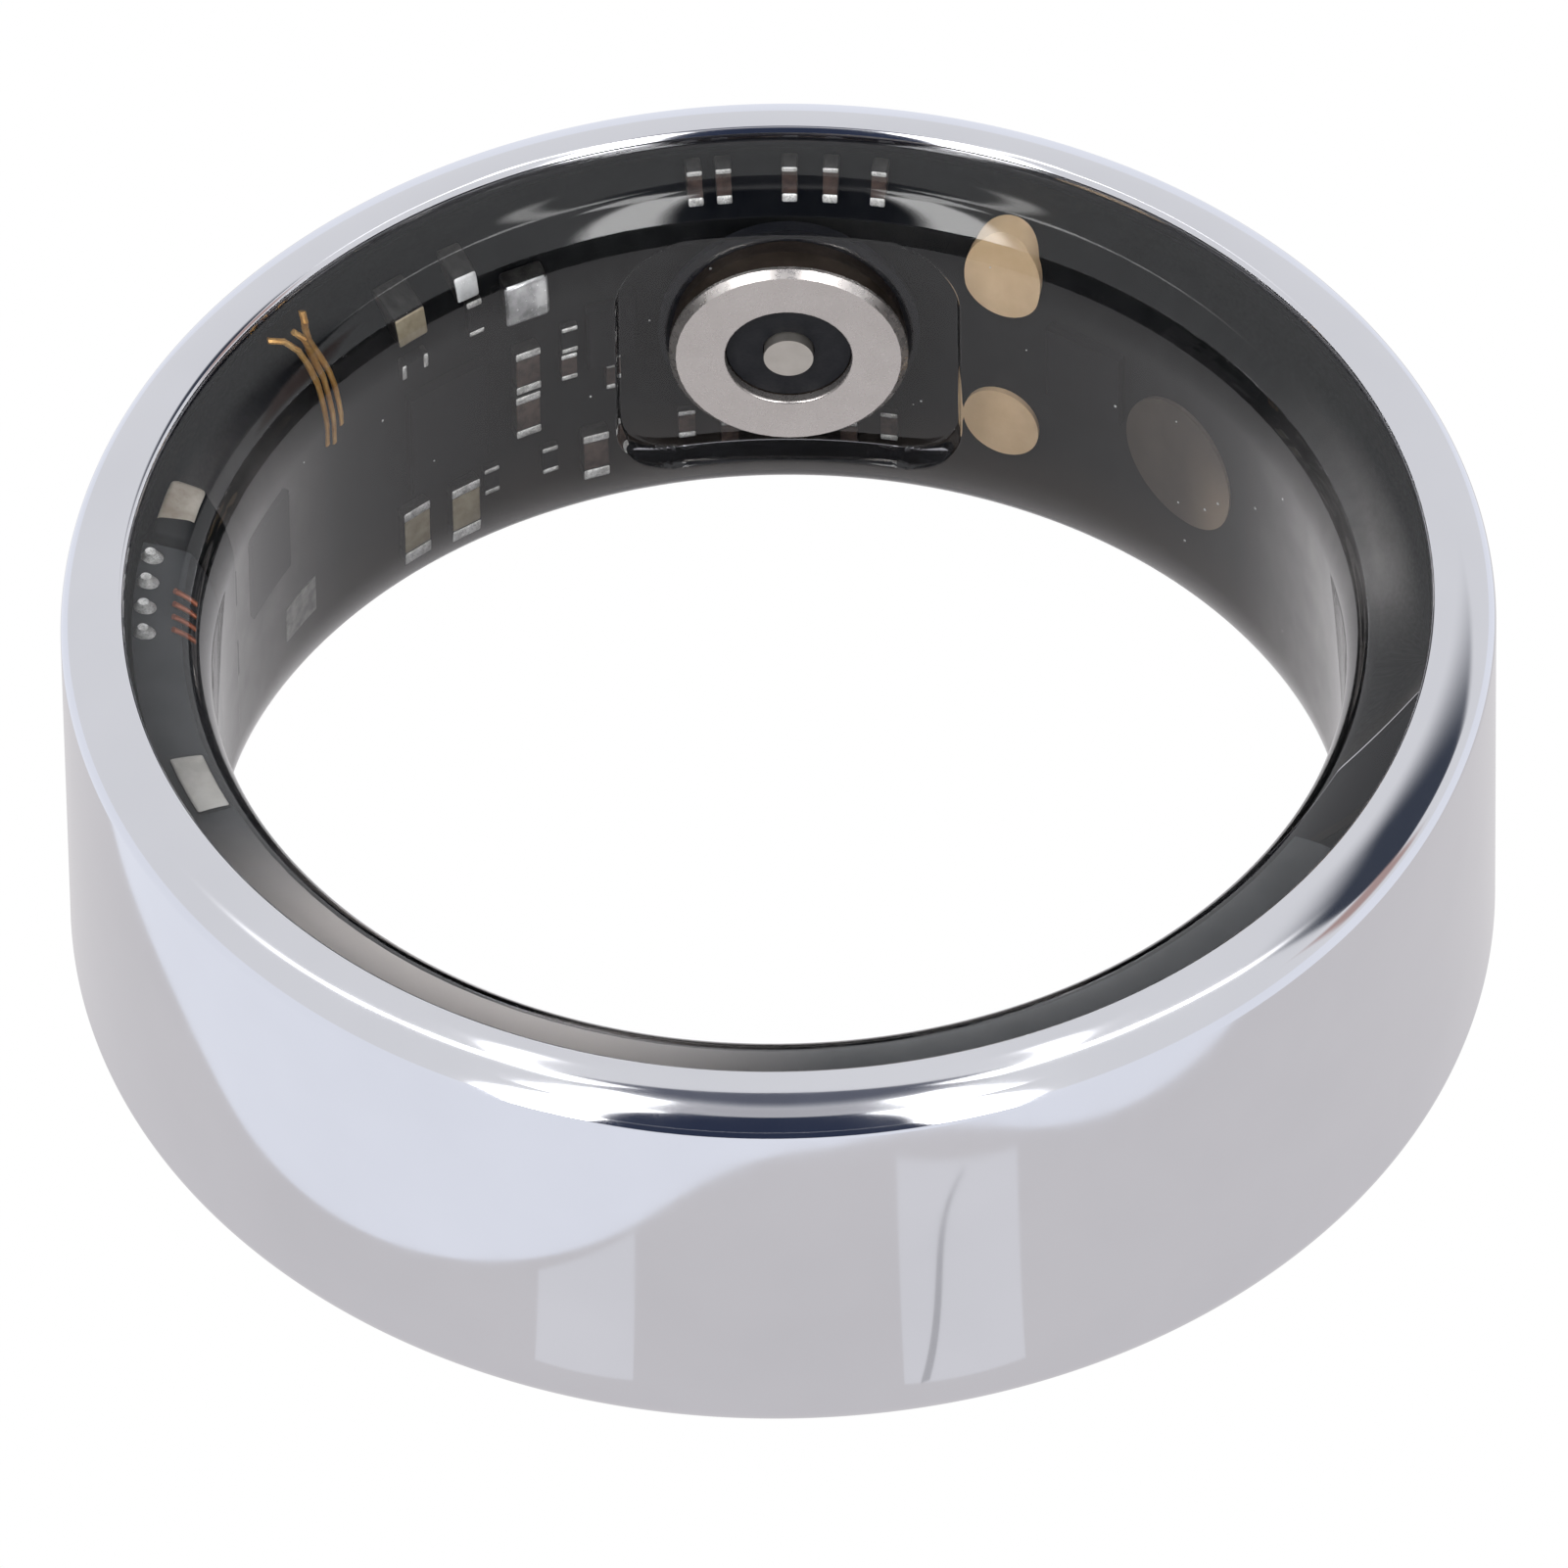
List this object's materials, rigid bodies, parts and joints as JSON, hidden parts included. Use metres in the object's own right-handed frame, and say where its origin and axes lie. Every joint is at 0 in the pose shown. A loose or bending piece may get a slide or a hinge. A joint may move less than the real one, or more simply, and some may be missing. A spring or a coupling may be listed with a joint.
{
  "type": "smart ring",
  "caption": "Polished metal smart ring lined with clear smoked resin over a wrapped circuit board, with a coaxial charging contact facing the finger.",
  "frame": {"origin": "middle of the finger bore, halfway along the ring's width", "axes": "+Z along the ring's axis, up when the ring lies flat; +Y from the axis to the charging contact"},
  "size_m": [0.0244, 0.0244, 0.008],
  "materials": {
    "polished_metal": "mirror polished",
    "smoked_resin": "clear smoked, glossy",
    "film": "satin",
    "board": "satin solder mask",
    "nickel": "fine turned",
    "insulator": "matt",
    "pin_nickel": "fine turned",
    "chip_black": "matt moulded",
    "silver": "tinned",
    "ceramic_tan": "satin",
    "ceramic_brown": "satin",
    "white_terminal": "satin",
    "gold": "satin gold",
    "bronze": "satin",
    "pouch": "dark satin foil",
    "adhesive": "matt",
    "tape_tan": "glossy tape",
    "block_cream": "satin",
    "copper": "enamelled copper",
    "wire_enamel": "enamelled wire"
  },
  "bodies": {
    "root": {"outer_shell": "polished_metal", "resin_liner": "smoked_resin", "insulation_film": "film", "flex_board": "board", "contact_ring": "nickel", "contact_insulator": "insulator", "contact_pin": "pin_nickel", "main_chip": "chip_black", "charge_chip": "chip_black", "motion_sensor": "chip_black", "sensor_chip": "chip_black", "crystal": "silver", "ceramic_filter": "ceramic_tan", "antenna_terminal": "white_terminal", "bulk_capacitors": "ceramic_tan", "chip_capacitors": "ceramic_brown", "edge_capacitors": "ceramic_brown", "chip_resistors": "chip_black", "small_capacitors": "ceramic_brown", "end_terminals": "silver", "light_windows": "gold", "photodiode_window": "bronze", "test_pad": "block_cream", "solder_pads": "silver", "battery_cell": "pouch", "cell_adhesive": "adhesive", "cell_tabs": "silver", "protection_module": "tape_tan", "antenna_block": "block_cream", "copper_leads": "copper", "enamel_wires": "wire_enamel"}
  },
  "joints": []
}
